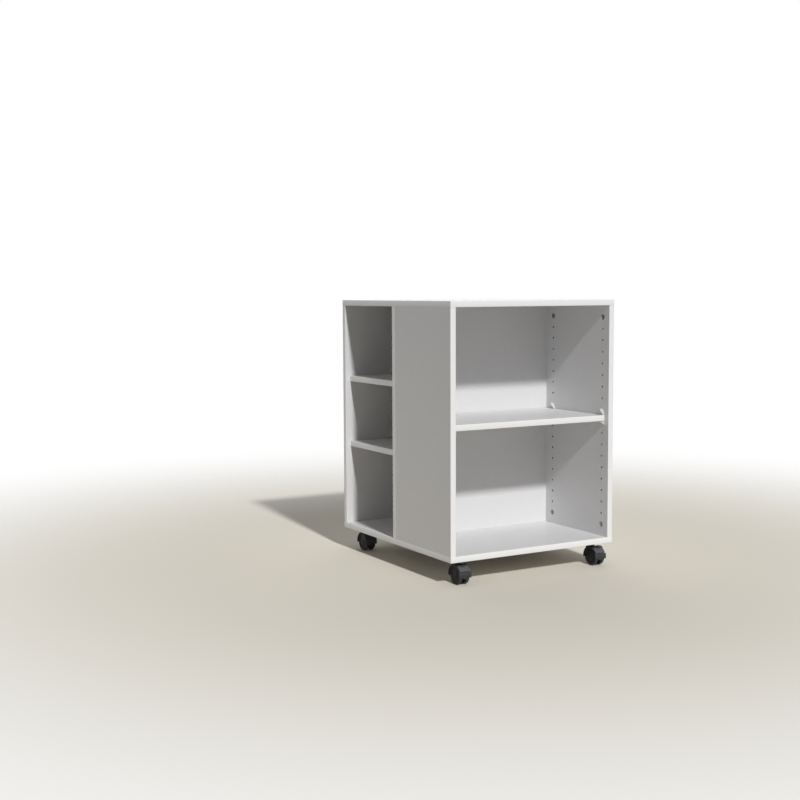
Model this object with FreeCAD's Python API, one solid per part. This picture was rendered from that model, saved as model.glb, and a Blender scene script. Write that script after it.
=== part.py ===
import FreeCAD, Part
import math
import os

from FreeCAD import Vector

# Storage cart in millimetres. The origin is on the floor under the middle of the cabinet.
# +Z is up, the front bay opens towards -Y and the side bay opens towards -X.

# Cabinet
WIDTH = 528.0
DEPTH = 592.0
BODY_HEIGHT = 672.0
BOARD = 16.0
FRONT_BAY_DEPTH = 284.0

# Edge bands on the cut edges that show
EDGING = 1.0
EDGE_ROUND = 0.6

# Largest share of a wall that a rounding takes
ROUND_SHARE = 0.8

# Shelves, each at a numbered hole counted up from the cabinet's floor
SHELF_SETBACK = 15.0
SHELF_GAP = 2.0
FRONT_SHELF_HOLE = 10
SIDE_LOWER_HOLE = 7
SIDE_UPPER_HOLE = 13

# Rows of blind holes for the shelf supports
HOLE_PITCH = 32.0
HOLE_DIAMETER = 5.0
HOLE_COVER = 5.0
FRONT_ROW_INSET = 28.0
BACK_ROW_INSET = 32.0
SIDE_ROW_INSET = 157.0
FRONT_FIRST_HOLE = 2
SIDE_FIRST_HOLE = 1
END_HOLE_ROOM = 24.0

# Shelf supports with a ledge under the shelf and over it a block with a nose
SUPPORT_WIDTH = 21.0
SUPPORT_CLEARANCE = 0.4
SUPPORT_FOOT = 8.0
SUPPORT_CAP = 3.0
LEDGE_REACH = 13.0
LEDGE_THICKNESS = 4.0
LEDGE_RISE = 2.4
BLOCK_ROOT_REACH = 4.0
BLOCK_NOSE_REACH = 12.0
BLOCK_TOP_WIDTH = 5.4
BLOCK_CLEARANCE = 0.3
PIN_LENGTH = 9.0
PIN_CLEARANCE = 0.05

# Cam locks and their bolts
CAM_DISTANCE = 32.0
CAM_DIAMETER = 15.0
CAM_COVER = 3.5
CAM_CLEARANCE = 0.1
CAM_RECESS = 0.3
CAM_SLOT_WIDTH = 1.8
CAM_SLOT_LENGTH = 10.0
CAM_SLOT_DEPTH = 1.8
REAR_CAM_INSET = 48.0
SIDE_CAM_INSET = 200.0
BOLT_DIAMETER = 6.8
BOLT_NECK_DIAMETER = 4.4
BOLT_HEAD_LENGTH = 3.0
BOLT_CLEARANCE = 0.25
THREAD_DIAMETER = 5.0
THREAD_COVER = 5.0

# Dowels
DOWEL_DIAMETER = 8.0
DOWEL_DEPTH = 20.0
DOWEL_COVER = 6.0
DOWEL_OFFSET = 64.0
DOWEL_CLEARANCE = 0.05
DOWEL_END_GAP = 0.5
CORNER_DOWELS = 3

# Caster places under the bottom panel
CASTER_INSET_X = 42.0
CASTER_INSET_Y = 43.0

# Caster plates and screws
PLATE_SIZE = 46.0
PLATE_THICKNESS = 2.5
PLATE_CORNER = 5.0
SCREW_SPACING = 34.0
SCREW_DIAMETER = 3.6
SCREW_HEAD_DIAMETER = 7.0
SCREW_HEAD_HEIGHT = 2.2
SCREW_COVER = 3.0
SCREW_CLEARANCE = 0.2
SCREW_SLOT_WIDTH = 1.2
SCREW_SLOT_LENGTH = 4.4
SCREW_SLOT_DEPTH = 1.2

# Twin wheels and tyres
WHEEL_DIAMETER = 50.0
WHEEL_WIDTH = 8.0
WHEEL_GAP = 14.0
TYRE_WALL = 3.0
TYRE_ROUND = 1.4
RIM_WALL = 2.4
HUB_DIAMETER = 13.0
HUB_SINK = 0.8
DISH_DEPTH = 1.5
BACK_RECESS = 3.0
HUB_END_WALL = 2.5

# Caster hood, swivel stem and axle
TRAIL = 20.0
HOOD_WALL = 1.8
HOOD_OVERHANG = 3.5
TREAD_CLEARANCE = 0.8
NECK_RISE = 6.6
NECK_DIAMETER = 24.0
NECK_DROP = 8.0
SWIVEL_GAP = 0.3
WEB_THICKNESS = 10.0
WEB_FOOT = 8.0
WHEEL_SIDE_CLEARANCE = 0.3
AXLE_DIAMETER = 6.0
AXLE_END_GAP = 0.3
STEM_DIAMETER = 8.0
STEM_DEPTH = 37.0
STEM_FLOOR = 2.0
RUNNING_CLEARANCE = 0.05
FIXED_CLEARANCE = 0.02
SKIRT_ANGLE = -10.0
HOOD_BACK_ANGLE = 190.0

# Brake pedal on the front casters
PEDAL_TOE_ANGLE = 25.0
PEDAL_PIVOT_ANGLE = 58.0
PEDAL_WIDTH = 31.0
PEDAL_WALL = 2.4
PEDAL_TREAD_CLEARANCE = 0.35
PEDAL_TRAVEL = 5.0
PEDAL_BARREL_DIAMETER = 3.0
PEDAL_LUG_WALL = 1.2
PEDAL_SIDE_CLEARANCE = 0.4
PEDAL_END_CLEARANCE = 0.4
WINDOW_DEPTH = 0.2

# Planes of the cabinet
HOOD_INNER = WHEEL_DIAMETER / 2 + TREAD_CLEARANCE
HOOD_OUTER = HOOD_INNER + HOOD_WALL
NECK_TOP = WHEEL_DIAMETER / 2 + HOOD_OUTER + NECK_RISE
PLATE_UNDER = NECK_TOP + SWIVEL_GAP
CASTER_HEIGHT = PLATE_UNDER + PLATE_THICKNESS
X_LEFT = -WIDTH / 2
X_RIGHT = WIDTH / 2
X_LEFT_FACE = X_LEFT + BOARD
X_RIGHT_FACE = X_RIGHT - BOARD
Y_FRONT = -DEPTH / 2
Y_BACK = DEPTH / 2
Y_PARTITION = Y_FRONT + FRONT_BAY_DEPTH
Y_PARTITION_BACK = Y_PARTITION + BOARD
Y_REAR_FACE = Y_BACK - BOARD
Z_UNDER = CASTER_HEIGHT
Z_FLOOR = Z_UNDER + BOARD
Z_TOP = Z_UNDER + BODY_HEIGHT
Z_CEILING = Z_TOP - BOARD

# Rows of holes and the turn that faces each fitting into its bay
FRONT_ROWS = (Y_FRONT + FRONT_ROW_INSET, Y_PARTITION - BACK_ROW_INSET)
SIDE_ROWS = (X_LEFT + SIDE_ROW_INSET, X_RIGHT - SIDE_ROW_INSET)
SIDE_CAMS = (X_LEFT + SIDE_CAM_INSET, X_RIGHT - SIDE_CAM_INSET)
FACE_TURN = {
    "left_side_panel": 0.0,
    "right_side_panel": 180.0,
    "partition_panel": 90.0,
    "rear_panel": -90.0,
}
UP = Vector(0, 0, 1)
ALONG_X = Vector(1, 0, 0)
ALONG_Y = Vector(0, 1, 0)
LEFTWARD = Vector(-1, 0, 0)
FRONTWARD = Vector(0, -1, 0)


def box(x, y, z):
    """Box between two limits on each axis."""
    return Part.makeBox(x[1] - x[0], y[1] - y[0], z[1] - z[0], Vector(x[0], y[0], z[0]))


def rod(diameter, start, direction, length):
    """Round bar from a start point along a direction."""
    return Part.makeCylinder(diameter / 2, length, Vector(*start), direction)


def placed(shape, turn, point):
    """Copy of a shape, turned about the vertical and moved to a point."""
    copy = shape.copy()
    copy.Placement = FreeCAD.Placement(Vector(*point), FreeCAD.Rotation(UP, turn)) * shape.Placement
    return copy


def prism(points, direction):
    """Solid made by pushing a closed outline along a direction."""
    outline = [Vector(*point) for point in points]
    outline.append(outline[0])
    return Part.Face(Part.makePolygon(outline)).extrude(direction)


def save(name, *solids):
    """Write one node, a single solid or a group of separate ones."""
    shape = solids[0] if len(solids) == 1 else Part.makeCompound(solids)
    shape.exportStep("parts/" + name + ".step")


def edge_band(x, y, z, outward):
    """Strip over a cut edge, with the two long corners of its outer face eased."""
    strip = box(x, y, z)
    face = max(strip.Faces, key=lambda item: item.CenterOfMass.dot(outward))
    corners = [edge for edge in face.Edges if edge.Length > 2 * BOARD]
    return strip.makeFillet(min(EDGE_ROUND, EDGING * ROUND_SHARE), corners)


def hole_height(index):
    """Height of a numbered hole above the floor of the cabinet."""
    return Z_FLOOR + index * HOLE_PITCH


def row_heights(first, limit):
    """Heights of the holes in a row, from a numbered hole up to a limit that they keep clear of."""
    heights = []
    index = first
    while hole_height(index) + END_HOLE_ROOM <= limit:
        heights.append(hole_height(index))
        index += 1
    return heights


def face_point(panel, along, height):
    """Point on the bay side of an upright panel."""
    if panel == "left_side_panel":
        return (X_LEFT_FACE, along, height)
    if panel == "right_side_panel":
        return (X_RIGHT_FACE, along, height)
    if panel == "partition_panel":
        return (along, Y_PARTITION_BACK, height)
    return (along, Y_REAR_FACE, height)


def system_holes(panel, rows, heights):
    """Blind holes at the given rows and heights, as drills that enter from the bay side."""
    drill = rod(HOLE_DIAMETER, (HOLE_COVER - BOARD, 0, 0), ALONG_X, BOARD - HOLE_COVER)
    return [
        placed(drill, FACE_TURN[panel], face_point(panel, along, height))
        for along in rows
        for height in heights
    ]


def cam_lock(side):
    """Cam in its bore: its face looks along +X and the bolt comes from above or below."""
    depth = BOARD - CAM_COVER
    length = depth - CAM_RECESS - CAM_CLEARANCE
    body = rod(CAM_DIAMETER - 2 * CAM_CLEARANCE, (-depth + CAM_CLEARANCE, 0, 0), ALONG_X, length)
    bolt_line = Vector(0, 0, side)
    chamber_length = BOLT_HEAD_LENGTH + 2 * BOLT_CLEARANCE
    chamber = rod(
        BOLT_DIAMETER + 2 * BOLT_CLEARANCE,
        (-BOARD / 2, 0, -side * chamber_length / 2),
        bolt_line,
        chamber_length,
    )
    passage = rod(BOLT_NECK_DIAMETER + 2 * BOLT_CLEARANCE, (-BOARD / 2, 0, 0), bolt_line, CAM_DIAMETER)
    half_length = CAM_SLOT_LENGTH / 2
    half_width = CAM_SLOT_WIDTH / 2
    slot_x = (-CAM_RECESS - CAM_SLOT_DEPTH, 0)
    upright = box(slot_x, (-half_width, half_width), (-half_length, half_length))
    level = box(slot_x, (-half_length, half_length), (-half_width, half_width))
    return body.cut([chamber, passage, upright, level])


def cam_bolt(side):
    """Bolt whose head sits in the cam and whose thread goes into the next board."""
    line = Vector(0, 0, side)
    x = -BOARD / 2
    neck_end = CAM_DIAMETER / 2 + BOLT_CLEARANCE
    head = rod(BOLT_DIAMETER, (x, 0, -side * BOLT_HEAD_LENGTH / 2), line, BOLT_HEAD_LENGTH)
    neck = rod(BOLT_NECK_DIAMETER, (x, 0, 0), line, neck_end)
    shank = rod(BOLT_DIAMETER, (x, 0, side * neck_end), line, CAM_DISTANCE - neck_end)
    thread = rod(THREAD_DIAMETER, (x, 0, side * CAM_DISTANCE), line, BOARD - THREAD_COVER)
    return head.fuse([neck, shank, thread]).removeSplitter()


def cam_drills(side):
    """Bores for one cam: in the upright panel, and in the board it is pulled against."""
    line = Vector(0, 0, side)
    pocket = rod(CAM_DIAMETER, (CAM_COVER - BOARD, 0, 0), ALONG_X, BOARD - CAM_COVER)
    channel = rod(BOLT_DIAMETER + 2 * BOLT_CLEARANCE, (-BOARD / 2, 0, 0), line, CAM_DISTANCE)
    thread = rod(
        THREAD_DIAMETER + 2 * DOWEL_CLEARANCE,
        (-BOARD / 2, 0, side * CAM_DISTANCE),
        line,
        BOARD - THREAD_COVER + DOWEL_END_GAP,
    )
    return pocket, channel, thread


def dowel_set(point, direction):
    """Dowel across a butt joint, with its bore in the butted board and in the board it meets."""
    joint = Vector(*point)
    far_depth = BOARD - DOWEL_COVER
    bore = DOWEL_DIAMETER + 2 * DOWEL_CLEARANCE
    near_depth = DOWEL_DEPTH + DOWEL_END_GAP
    dowel = rod(DOWEL_DIAMETER, joint - direction * DOWEL_DEPTH, direction, DOWEL_DEPTH + far_depth)
    near_bore = rod(bore, joint - direction * near_depth, direction, near_depth)
    far_bore = rod(bore, joint, direction, far_depth + DOWEL_END_GAP)
    return dowel, near_bore, far_bore


def shelf_support():
    """Moulded support: two pins in the panel, a ledge under the shelf and a nosed block over it."""
    plate = SHELF_GAP - SUPPORT_CLEARANCE
    half = SUPPORT_WIDTH / 2
    half_top = BLOCK_TOP_WIDTH / 2
    cap = HOLE_PITCH + SUPPORT_CAP
    block_under = LEDGE_RISE + BOARD + BLOCK_CLEARANCE
    ledge_under = LEDGE_RISE - LEDGE_THICKNESS
    side_outline = [
        (0, -half, -SUPPORT_FOOT),
        (plate, -half, -SUPPORT_FOOT),
        (LEDGE_REACH, -half, ledge_under),
        (LEDGE_REACH, -half, LEDGE_RISE),
        (plate, -half, LEDGE_RISE),
        (plate, -half, block_under),
        (0, -half, block_under),
    ]
    face_outline = [
        (0, -half, block_under),
        (0, half, block_under),
        (0, half_top, cap),
        (0, -half_top, cap),
    ]
    nose_outline = [
        (0, -half, block_under),
        (BLOCK_ROOT_REACH, -half, block_under),
        (BLOCK_NOSE_REACH, -half, cap),
        (0, -half, cap),
    ]
    ledge = prism(side_outline, Vector(0, SUPPORT_WIDTH, 0))
    nose = prism(nose_outline, Vector(0, SUPPORT_WIDTH, 0))
    block = prism(face_outline, Vector(BLOCK_NOSE_REACH, 0, 0)).common(nose)
    pin = HOLE_DIAMETER - 2 * PIN_CLEARANCE
    pins = [rod(pin, (-PIN_LENGTH, 0, height), ALONG_X, PIN_LENGTH) for height in (0, HOLE_PITCH)]
    return ledge.fuse([block] + pins).removeSplitter()


def supports(panels, rows, hole):
    """The four supports of one shelf."""
    return [
        placed(shelf_support(), FACE_TURN[panel], face_point(panel, along, hole_height(hole)))
        for panel in panels
        for along in rows
    ]


def shelf_span(hole):
    """Lower and upper face of a shelf that lies on the supports at a numbered hole."""
    under = hole_height(hole) + LEDGE_RISE
    return (under, under + BOARD)


def around_axle(radius, angle):
    """Point about the wheel axle, at an angle that rises from the trailing side."""
    turn = math.radians(angle)
    return Vector(0, -TRAIL - radius * math.cos(turn), WHEEL_DIAMETER / 2 + radius * math.sin(turn))


def arc_plate(inner, outer, start, end, width):
    """Curved plate about the wheel axle, centred across the caster."""
    middle = (start + end) / 2
    edges = [
        Part.Arc(around_axle(outer, start), around_axle(outer, middle), around_axle(outer, end)).toShape(),
        Part.LineSegment(around_axle(outer, end), around_axle(inner, end)).toShape(),
        Part.Arc(around_axle(inner, end), around_axle(inner, middle), around_axle(inner, start)).toShape(),
        Part.LineSegment(around_axle(inner, start), around_axle(outer, start)).toShape(),
    ]
    plate = Part.Face(Part.Wire(edges)).extrude(Vector(width, 0, 0))
    plate.translate(Vector(-width / 2, 0, 0))
    return plate


def across(diameter, centre, width):
    """Round bar across the caster, centred on its middle."""
    return rod(diameter, (-width / 2, centre.y, centre.z), ALONG_X, width)


def hood_width():
    """Width of a caster over its hood, which reaches a little past both wheels."""
    return WHEEL_GAP + 2 * WHEEL_WIDTH + 2 * HOOD_OVERHANG


def pedal_pivot():
    """Centre of the pedal's hinge barrel."""
    radius = WHEEL_DIAMETER / 2 + PEDAL_TREAD_CLEARANCE + PEDAL_BARREL_DIAMETER / 2
    return around_axle(radius, PEDAL_PIVOT_ANGLE)


def pedal_window():
    """Opening in the hood for the pedal, with a little room at the toe and past the barrel."""
    toe_room = math.degrees(PEDAL_END_CLEARANCE / HOOD_OUTER)
    barrel_room = math.degrees((PEDAL_BARREL_DIAMETER / 2 + PEDAL_END_CLEARANCE) / HOOD_INNER)
    return arc_plate(
        WHEEL_DIAMETER / 2 - WINDOW_DEPTH,
        2 * HOOD_OUTER,
        PEDAL_TOE_ANGLE - toe_room,
        PEDAL_PIVOT_ANGLE + barrel_room,
        2 * hood_width(),
    )


def hood(with_pedal):
    """Caster body: curved hood over both wheels, web between them, neck and bores."""
    axle = around_axle(0, 0)
    width = hood_width()
    boss = WHEEL_GAP - 2 * WHEEL_SIDE_CLEARANCE
    shell = arc_plate(HOOD_INNER, HOOD_OUTER, SKIRT_ANGLE, HOOD_BACK_ANGLE, width)
    neck_foot = axle.z + NECK_DROP
    neck = rod(NECK_DIAMETER, (0, 0, neck_foot), UP, NECK_TOP - neck_foot)
    wheel_room = [
        rod(2 * HOOD_INNER, (side * WEB_THICKNESS / 2, axle.y, axle.z), Vector(side, 0, 0), width)
        for side in (-1, 1)
    ]
    cover = shell.fuse(neck).cut(wheel_room)
    web_disc = across(2 * HOOD_INNER + HOOD_WALL, axle, WEB_THICKNESS)
    web_room = 2 * HOOD_OUTER
    web_keep = box(
        (-web_room, web_room),
        (axle.y - web_room, axle.y + web_room),
        (axle.z - WEB_FOOT, axle.z + web_room),
    )
    skirt_edge = arc_plate(
        WHEEL_DIAMETER / 2 - WINDOW_DEPTH, web_room, SKIRT_ANGLE - 90, SKIRT_ANGLE, 2 * WEB_THICKNESS
    )
    web = web_disc.common(web_keep).cut(skirt_edge)
    stem_foot = CASTER_HEIGHT - STEM_DEPTH - SWIVEL_GAP
    stem_boss = rod(boss, (0, 0, stem_foot - STEM_FLOOR), UP, NECK_TOP - stem_foot + STEM_FLOOR)
    axle_boss = across(2 * AXLE_DIAMETER, axle, boss)
    body = cover.fuse([web, stem_boss, axle_boss])
    drills = [
        rod(STEM_DIAMETER + 2 * RUNNING_CLEARANCE, (0, 0, stem_foot), UP, STEM_DEPTH),
        across(AXLE_DIAMETER + 2 * FIXED_CLEARANCE, axle, width),
    ]
    if with_pedal:
        pivot = pedal_pivot()
        lug = across(PEDAL_BARREL_DIAMETER + 2 * PEDAL_LUG_WALL, pivot, WEB_THICKNESS)
        body = body.cut(pedal_window()).fuse(lug)
        drills.append(across(PEDAL_BARREL_DIAMETER + 2 * RUNNING_CLEARANCE, pivot, width))
    return body.cut(drills).removeSplitter()


def brake_pedal():
    """Curved pedal on its barrel, shown released: it presses down by its travel to brake."""
    inner = WHEEL_DIAMETER / 2 + PEDAL_TREAD_CLEARANCE
    pivot = pedal_pivot()
    plate = arc_plate(inner, inner + PEDAL_WALL, PEDAL_TOE_ANGLE, PEDAL_PIVOT_ANGLE, PEDAL_WIDTH)
    lug_room = PEDAL_BARREL_DIAMETER + 2 * (PEDAL_LUG_WALL + PEDAL_SIDE_CLEARANCE)
    slot = across(lug_room, pivot, WEB_THICKNESS + 2 * PEDAL_SIDE_CLEARANCE)
    barrel = across(PEDAL_BARREL_DIAMETER, pivot, PEDAL_WIDTH)
    pedal = plate.cut(slot).fuse(barrel).removeSplitter()
    pedal.rotate(pivot, ALONG_X, -PEDAL_TRAVEL)
    return pedal


def revolved(profile):
    """Solid of revolution about the axle from (radius, distance across) points."""
    axle = around_axle(0, 0)
    outline = [Vector(across_x, axle.y, axle.z + radius) for radius, across_x in profile]
    outline.append(outline[0])
    return Part.Face(Part.makePolygon(outline)).revolve(axle, ALONG_X, 360)


def right_wheel():
    """Moulded wheel with a blind hub, a dished outer face and a recessed back."""
    inner_face = WHEEL_GAP / 2
    outer_face = inner_face + WHEEL_WIDTH
    seat = WHEEL_DIAMETER / 2 - TYRE_WALL
    rim = seat - RIM_WALL
    hub = HUB_DIAMETER / 2
    bore = AXLE_DIAMETER / 2 + RUNNING_CLEARANCE
    bore_end = outer_face - HUB_END_WALL
    return revolved([
        (0, bore_end),
        (0, outer_face - HUB_SINK),
        (hub, outer_face - HUB_SINK),
        (hub, outer_face - DISH_DEPTH),
        (rim, outer_face - DISH_DEPTH),
        (rim, outer_face),
        (seat, outer_face),
        (seat, inner_face),
        (rim, inner_face),
        (rim, inner_face + BACK_RECESS),
        (hub, inner_face + BACK_RECESS),
        (hub, inner_face),
        (bore, inner_face),
        (bore, bore_end),
    ])


def right_tyre():
    """Soft tyre on the wheel's seat, with rounded shoulders."""
    radius = WHEEL_DIAMETER / 2
    inner_face = WHEEL_GAP / 2
    outer_face = inner_face + WHEEL_WIDTH
    ring = revolved([
        (radius - TYRE_WALL, inner_face),
        (radius - TYRE_WALL, outer_face),
        (radius, outer_face),
        (radius, inner_face),
    ])
    shoulders = [
        edge for edge in ring.Edges
        if isinstance(edge.Curve, Part.Circle) and edge.Curve.Radius > radius - TYRE_WALL / 2
    ]
    return ring.makeFillet(min(TYRE_ROUND, TYRE_WALL * ROUND_SHARE), shoulders)


def axle_pin():
    """Steel axle that ends inside the blind hubs."""
    reach = WHEEL_GAP / 2 + WHEEL_WIDTH - HUB_END_WALL - AXLE_END_GAP
    return across(AXLE_DIAMETER, around_axle(0, 0), 2 * reach)


def swivel_stem():
    """Steel stem riveted flush into the plate, on which the hood turns."""
    return rod(STEM_DIAMETER, (0, 0, CASTER_HEIGHT - STEM_DEPTH), UP, STEM_DEPTH)


def screw_points():
    """Places of the four screws about the swivel axis."""
    half = SCREW_SPACING / 2
    return [(x, y) for x in (-half, half) for y in (-half, half)]


def caster_plate():
    """Square steel plate with rounded corners and its holes."""
    half = PLATE_SIZE / 2
    plate = box((-half, half), (-half, half), (PLATE_UNDER, CASTER_HEIGHT))
    uprights = [edge for edge in plate.Edges if abs(edge.Length - PLATE_THICKNESS) < PLATE_THICKNESS / 10]
    plate = plate.makeFillet(PLATE_CORNER, uprights)
    drills = [rod(STEM_DIAMETER + 2 * FIXED_CLEARANCE, (0, 0, PLATE_UNDER), UP, PLATE_THICKNESS)]
    for x, y in screw_points():
        drills.append(rod(SCREW_DIAMETER + 2 * SCREW_CLEARANCE, (x, y, PLATE_UNDER), UP, PLATE_THICKNESS))
    return plate.cut(drills)


def caster_screw():
    """Pan-head screw from below, with a cross recess in its head."""
    head_under = PLATE_UNDER - SCREW_HEAD_HEIGHT
    head = rod(SCREW_HEAD_DIAMETER, (0, 0, head_under), UP, SCREW_HEAD_HEIGHT)
    shank = rod(SCREW_DIAMETER, (0, 0, PLATE_UNDER), UP, PLATE_THICKNESS + BOARD - SCREW_COVER)
    half_length = SCREW_SLOT_LENGTH / 2
    half_width = SCREW_SLOT_WIDTH / 2
    slot_z = (head_under, head_under + SCREW_SLOT_DEPTH)
    slots = [
        box((-half_length, half_length), (-half_width, half_width), slot_z),
        box((-half_width, half_width), (-half_length, half_length), slot_z),
    ]
    return head.fuse(shank).cut(slots).removeSplitter()


def caster_corners():
    """Swivel axis of each caster, by the corner that it stands under."""
    x = WIDTH / 2 - CASTER_INSET_X
    y = DEPTH / 2 - CASTER_INSET_Y
    return {
        "front_left": (-x, -y),
        "front_right": (x, -y),
        "rear_left": (-x, y),
        "rear_right": (x, y),
    }


def board_limits():
    """Limits of each board's core, inside its edge bands."""
    upright = (Z_FLOOR, Z_CEILING)
    inside = (X_LEFT + EDGING, X_RIGHT - EDGING)
    inside_depth = (Y_FRONT + EDGING, Y_BACK - EDGING)
    side_shelf_x = (X_LEFT + SHELF_SETBACK + EDGING, X_RIGHT_FACE - SHELF_GAP)
    side_shelf_y = (Y_PARTITION_BACK + SHELF_GAP, Y_REAR_FACE - SHELF_GAP)
    return {
        "top_panel": (inside, inside_depth, (Z_CEILING, Z_TOP)),
        "bottom_panel": (inside, inside_depth, (Z_UNDER, Z_FLOOR)),
        "left_side_panel": ((X_LEFT, X_LEFT_FACE), (Y_FRONT + EDGING, Y_PARTITION), upright),
        "right_side_panel": ((X_RIGHT_FACE, X_RIGHT), inside_depth, upright),
        "partition_panel": ((X_LEFT + EDGING, X_RIGHT_FACE), (Y_PARTITION, Y_PARTITION_BACK), upright),
        "rear_panel": ((X_LEFT + EDGING, X_RIGHT_FACE), (Y_REAR_FACE, Y_BACK), upright),
        "front_shelf": (
            (X_LEFT_FACE + SHELF_GAP, X_RIGHT_FACE - SHELF_GAP),
            (Y_FRONT + SHELF_SETBACK + EDGING, Y_PARTITION - SHELF_GAP),
            shelf_span(FRONT_SHELF_HOLE),
        ),
        "side_shelf_lower": (side_shelf_x, side_shelf_y, shelf_span(SIDE_LOWER_HOLE)),
        "side_shelf_upper": (side_shelf_x, side_shelf_y, shelf_span(SIDE_UPPER_HOLE)),
    }


def edging_strips(limits):
    """Edge bands of each board, on the edges that show."""
    left_band = (X_LEFT, X_LEFT + EDGING)
    right_band = (X_RIGHT - EDGING, X_RIGHT)
    front_band = (Y_FRONT, Y_FRONT + EDGING)
    back_band = (Y_BACK - EDGING, Y_BACK)
    shelf_left_band = (X_LEFT + SHELF_SETBACK, X_LEFT + SHELF_SETBACK + EDGING)
    shelf_front_band = (Y_FRONT + SHELF_SETBACK, Y_FRONT + SHELF_SETBACK + EDGING)
    full_width = (X_LEFT, X_RIGHT)
    strips = {}
    for name in ("top_panel", "bottom_panel"):
        x, y, z = limits[name]
        strips[name] = [
            edge_band(full_width, front_band, z, FRONTWARD),
            edge_band(full_width, back_band, z, ALONG_Y),
            edge_band(left_band, y, z, LEFTWARD),
            edge_band(right_band, y, z, ALONG_X),
        ]
    for name in ("partition_panel", "rear_panel"):
        x, y, z = limits[name]
        strips[name] = [edge_band(left_band, y, z, LEFTWARD)]
    for name in ("side_shelf_lower", "side_shelf_upper"):
        x, y, z = limits[name]
        strips[name] = [edge_band(shelf_left_band, y, z, LEFTWARD)]
    x, y, z = limits["left_side_panel"]
    strips["left_side_panel"] = [edge_band(x, front_band, z, FRONTWARD)]
    x, y, z = limits["right_side_panel"]
    strips["right_side_panel"] = [
        edge_band(x, front_band, z, FRONTWARD),
        edge_band(x, back_band, z, ALONG_Y),
    ]
    x, y, z = limits["front_shelf"]
    strips["front_shelf"] = [edge_band(x, shelf_front_band, z, FRONTWARD)]
    return strips


def upright_joints():
    """Cam and dowel places along the ends of each upright panel."""
    side_cams = list(SIDE_CAMS)
    side_dowels = [SIDE_ROWS[0] - DOWEL_OFFSET, SIDE_ROWS[1] + DOWEL_OFFSET]
    rear_cam = Y_REAR_FACE - REAR_CAM_INSET
    return {
        "left_side_panel": (
            list(FRONT_ROWS),
            [FRONT_ROWS[0] + DOWEL_OFFSET, FRONT_ROWS[1] - DOWEL_OFFSET],
        ),
        "right_side_panel": (
            list(FRONT_ROWS) + [rear_cam],
            [FRONT_ROWS[0] + DOWEL_OFFSET, rear_cam - DOWEL_OFFSET],
        ),
        "partition_panel": (side_cams, side_dowels),
        "rear_panel": (side_cams, side_dowels),
    }


def panel_middle(panel, along, height):
    """Point at mid thickness of an upright panel."""
    x, y, z = face_point(panel, along, height)
    turn = math.radians(FACE_TURN[panel])
    return (x - math.cos(turn) * BOARD / 2, y - math.sin(turn) * BOARD / 2, z)


def corner_heights():
    """Heights of the dowels along an upright butt joint, evenly spread."""
    step = (Z_CEILING - Z_FLOOR) / CORNER_DOWELS
    return [Z_FLOOR + step * (index + 0.5) for index in range(CORNER_DOWELS)]


def corner_joints():
    """Upright butt joints: the butted board, the board it meets, a point and a direction."""
    joints = []
    for height in corner_heights():
        partition_end = (X_RIGHT_FACE, Y_PARTITION + BOARD / 2, height)
        rear_end = (X_RIGHT_FACE, Y_REAR_FACE + BOARD / 2, height)
        left_end = (X_LEFT + BOARD / 2, Y_PARTITION, height)
        joints.append(("partition_panel", "right_side_panel", partition_end, ALONG_X))
        joints.append(("rear_panel", "right_side_panel", rear_end, ALONG_X))
        joints.append(("left_side_panel", "partition_panel", left_end, ALONG_Y))
    return joints


def build_cabinet():
    """Boards with their bores, edge bands, shelf supports, cams, bolts and dowels."""
    limits = board_limits()
    bores = {name: [] for name in limits}
    cams = []
    bolts = []
    dowels = []

    for panel, (cam_places, dowel_places) in upright_joints().items():
        turn = FACE_TURN[panel]
        for side, cap, joint in ((1, "top_panel", Z_CEILING), (-1, "bottom_panel", Z_FLOOR)):
            pocket, channel, thread = cam_drills(side)
            for along in cam_places:
                point = face_point(panel, along, joint - side * CAM_DISTANCE)
                cams.append(placed(cam_lock(side), turn, point))
                bolts.append(placed(cam_bolt(side), turn, point))
                bores[panel] += [placed(pocket, turn, point), placed(channel, turn, point)]
                bores[cap].append(placed(thread, turn, point))
            for along in dowel_places:
                dowel, near, far = dowel_set(panel_middle(panel, along, joint), UP * side)
                dowels.append(dowel)
                bores[panel].append(near)
                bores[cap].append(far)

    for butted, met, point, direction in corner_joints():
        dowel, near, far = dowel_set(point, direction)
        dowels.append(dowel)
        bores[butted].append(near)
        bores[met].append(far)

    front_heights = row_heights(FRONT_FIRST_HOLE, Z_CEILING - CAM_DISTANCE)
    side_heights = row_heights(SIDE_FIRST_HOLE, Z_CEILING)
    for panel in ("left_side_panel", "right_side_panel"):
        bores[panel] += system_holes(panel, FRONT_ROWS, front_heights)
    for panel in ("partition_panel", "rear_panel"):
        bores[panel] += system_holes(panel, SIDE_ROWS, side_heights)

    pilot = SCREW_DIAMETER + 2 * FIXED_CLEARANCE
    for swivel_x, swivel_y in caster_corners().values():
        for x, y in screw_points():
            start = (swivel_x + x, swivel_y + y, Z_UNDER)
            bores["bottom_panel"].append(rod(pilot, start, UP, BOARD - SCREW_COVER + DOWEL_END_GAP))

    for name, (x, y, z) in limits.items():
        core = box(x, y, z)
        save(name, core.cut(bores[name]) if bores[name] else core)
    for name, strips in edging_strips(limits).items():
        save(name + "_edging", *strips)

    front_panels = ("left_side_panel", "right_side_panel")
    side_panels = ("partition_panel", "rear_panel")
    save("front_shelf_supports", *supports(front_panels, FRONT_ROWS, FRONT_SHELF_HOLE))
    save("side_shelf_lower_supports", *supports(side_panels, SIDE_ROWS, SIDE_LOWER_HOLE))
    save("side_shelf_upper_supports", *supports(side_panels, SIDE_ROWS, SIDE_UPPER_HOLE))
    save("cam_locks", *cams)
    save("cam_bolts", *bolts)
    save("dowels", *dowels)


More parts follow.
